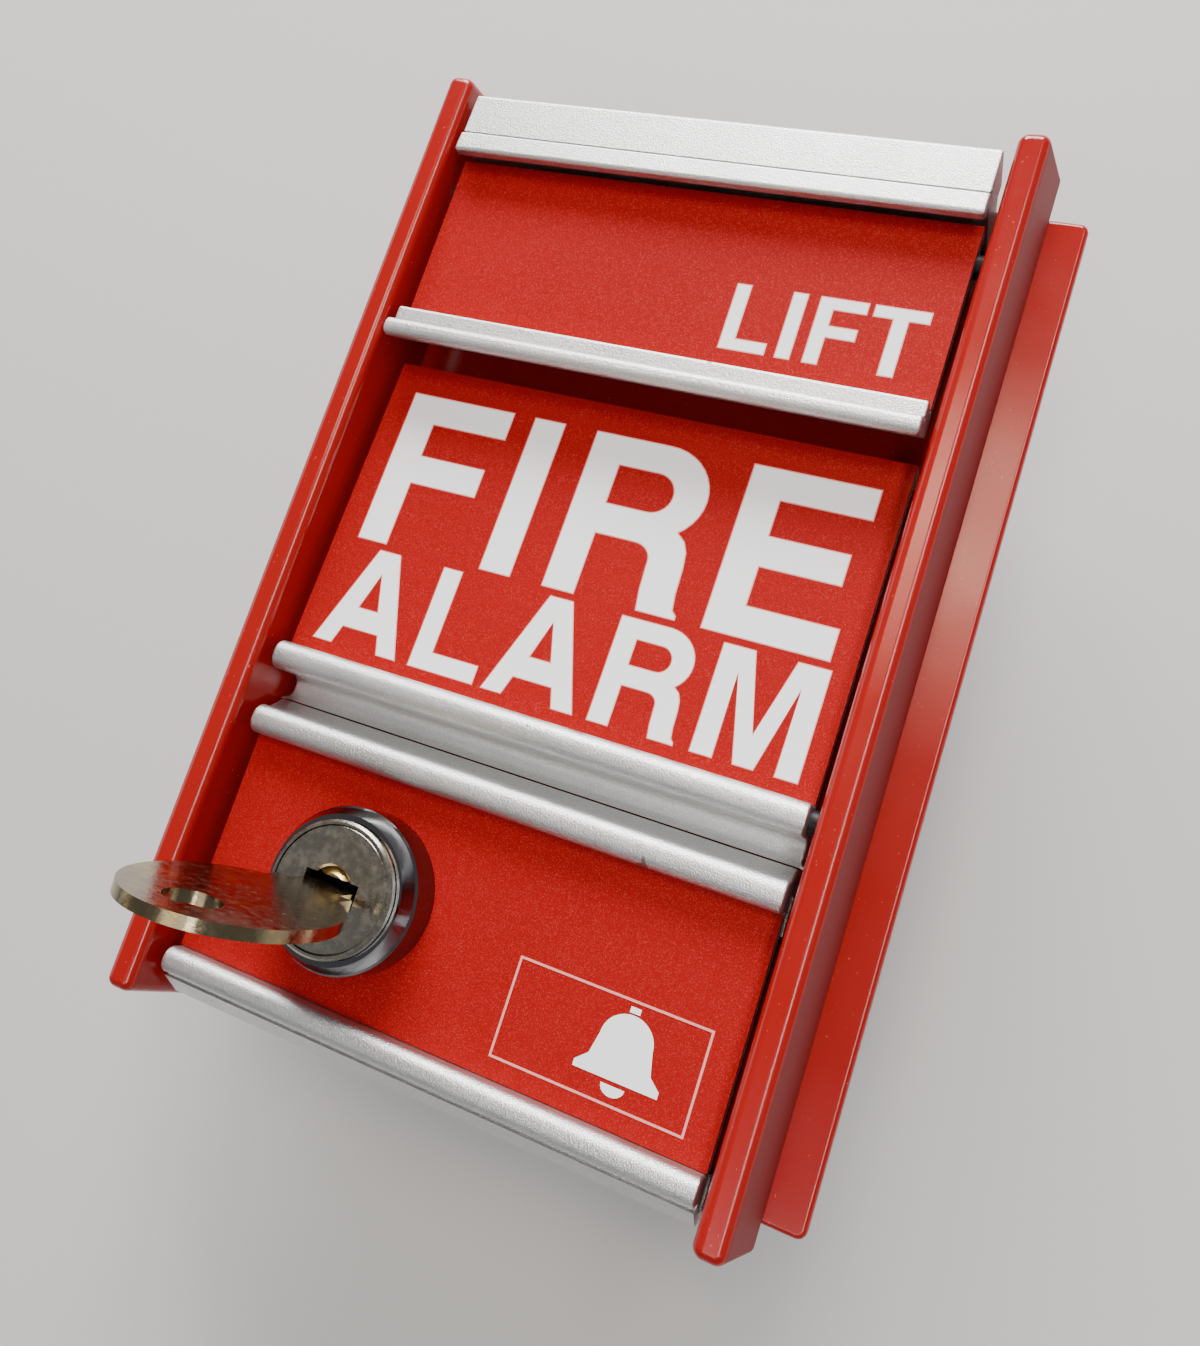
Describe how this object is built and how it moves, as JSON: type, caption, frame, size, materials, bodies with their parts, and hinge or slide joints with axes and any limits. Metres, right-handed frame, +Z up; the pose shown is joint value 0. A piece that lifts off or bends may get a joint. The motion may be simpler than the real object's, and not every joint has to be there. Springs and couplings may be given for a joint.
{
  "type": "manual fire alarm call point",
  "caption": "Wall-mounted pull-lever alarm station: red frame with aluminium bars, lift flap, pull lever, cam lock with key, hinged cover on a flanged back plate.",
  "frame": {"origin": "centre of the base plate's back face, which lies on the wall", "axes": "+X to the right seen from the front, +Z up, +Y into the wall, so the front faces -Y"},
  "size_m": [0.097, 0.0749, 0.1394],
  "materials": {
    "red_paint": "gloss",
    "red_label": "satin",
    "anodised": "satin",
    "steel": "satin",
    "dark_steel": "satin",
    "chrome": "polished",
    "nickel": "polished",
    "brass": "satin",
    "black_plastic": "satin",
    "ivory_plastic": "matt",
    "green_steel": "satin"
  },
  "bodies": {
    "base": {"base_plate": "red_paint", "hinge_knuckles": "steel", "lock_keeper": "steel", "keeper_rivets": "steel", "switch_bracket": "steel", "bracket_screws": "steel", "switch_body": "black_plastic", "switch_bolts": "steel", "switch_terminals": "brass", "terminal_block": "ivory_plastic", "terminal_plates": "brass", "terminal_screws": "brass", "block_screws": "steel", "earth_screw": "green_steel"},
    "cover": {"left_rail": "red_paint", "right_rail": "red_paint", "top_strap": "dark_steel", "middle_strap": "dark_steel", "bottom_strap": "dark_steel", "rail_screws": "steel", "bar_screws": "steel", "hinge_rod": "dark_steel", "cap_bar": "anodised", "lower_bar": "anodised", "lower_label": "red_label", "foot_bar": "anodised", "flap_pin": "dark_steel", "lock_bezel": "chrome", "lock_barrel": "nickel", "lock_nut": "nickel"},
    "flap": {"flap_bar": "anodised", "flap_label": "red_label"},
    "lever": {"lever_bar": "anodised", "lever_label": "red_label", "lever_pins": "dark_steel"},
    "lock_core": {"lock_face": "nickel", "lock_plug": "brass", "lock_cam": "steel", "cam_nut": "steel"},
    "key": {"key": "nickel"},
    "plunger": {"switch_plunger": "ivory_plastic"}
  },
  "joints": [
    {"name": "cover_swing", "type": "hinge", "parent": "base", "child": "cover", "pos_m": [0, -0.005, 0.0682], "axis": [-1, 0, 0], "range_deg": [0, 95]},
    {"name": "flap_lift", "type": "hinge", "parent": "cover", "child": "flap", "pos_m": [0, -0.0094, 0.0524], "axis": [-1, 0, 0], "range_deg": [0, 80]},
    {"name": "lever_pull", "type": "hinge", "parent": "cover", "child": "lever", "pos_m": [0, -0.0108, -0.01985], "axis": [1, 0, 0], "range_deg": [0, 35]},
    {"name": "lock_turn", "type": "hinge", "parent": "cover", "child": "lock_core", "pos_m": [-0.0146, -0.0185, -0.0454], "axis": [0, 1, 0], "range_deg": [0, 90]},
    {"name": "key_pull", "type": "slide", "parent": "lock_core", "child": "key", "axis": [0, -1, 0], "range_m": [0, 0.025]},
    {"name": "plunger_press", "type": "slide", "parent": "base", "child": "plunger", "axis": [0, -1, 0], "range_m": [0, 0.0016], "stiffness_N_per_m": 20, "springref_m": 0.0016}
  ],
  "couplings": [
    {"joint": "plunger_press", "follows": "lever_pull", "m_per_rad": 0.0026}
  ]
}
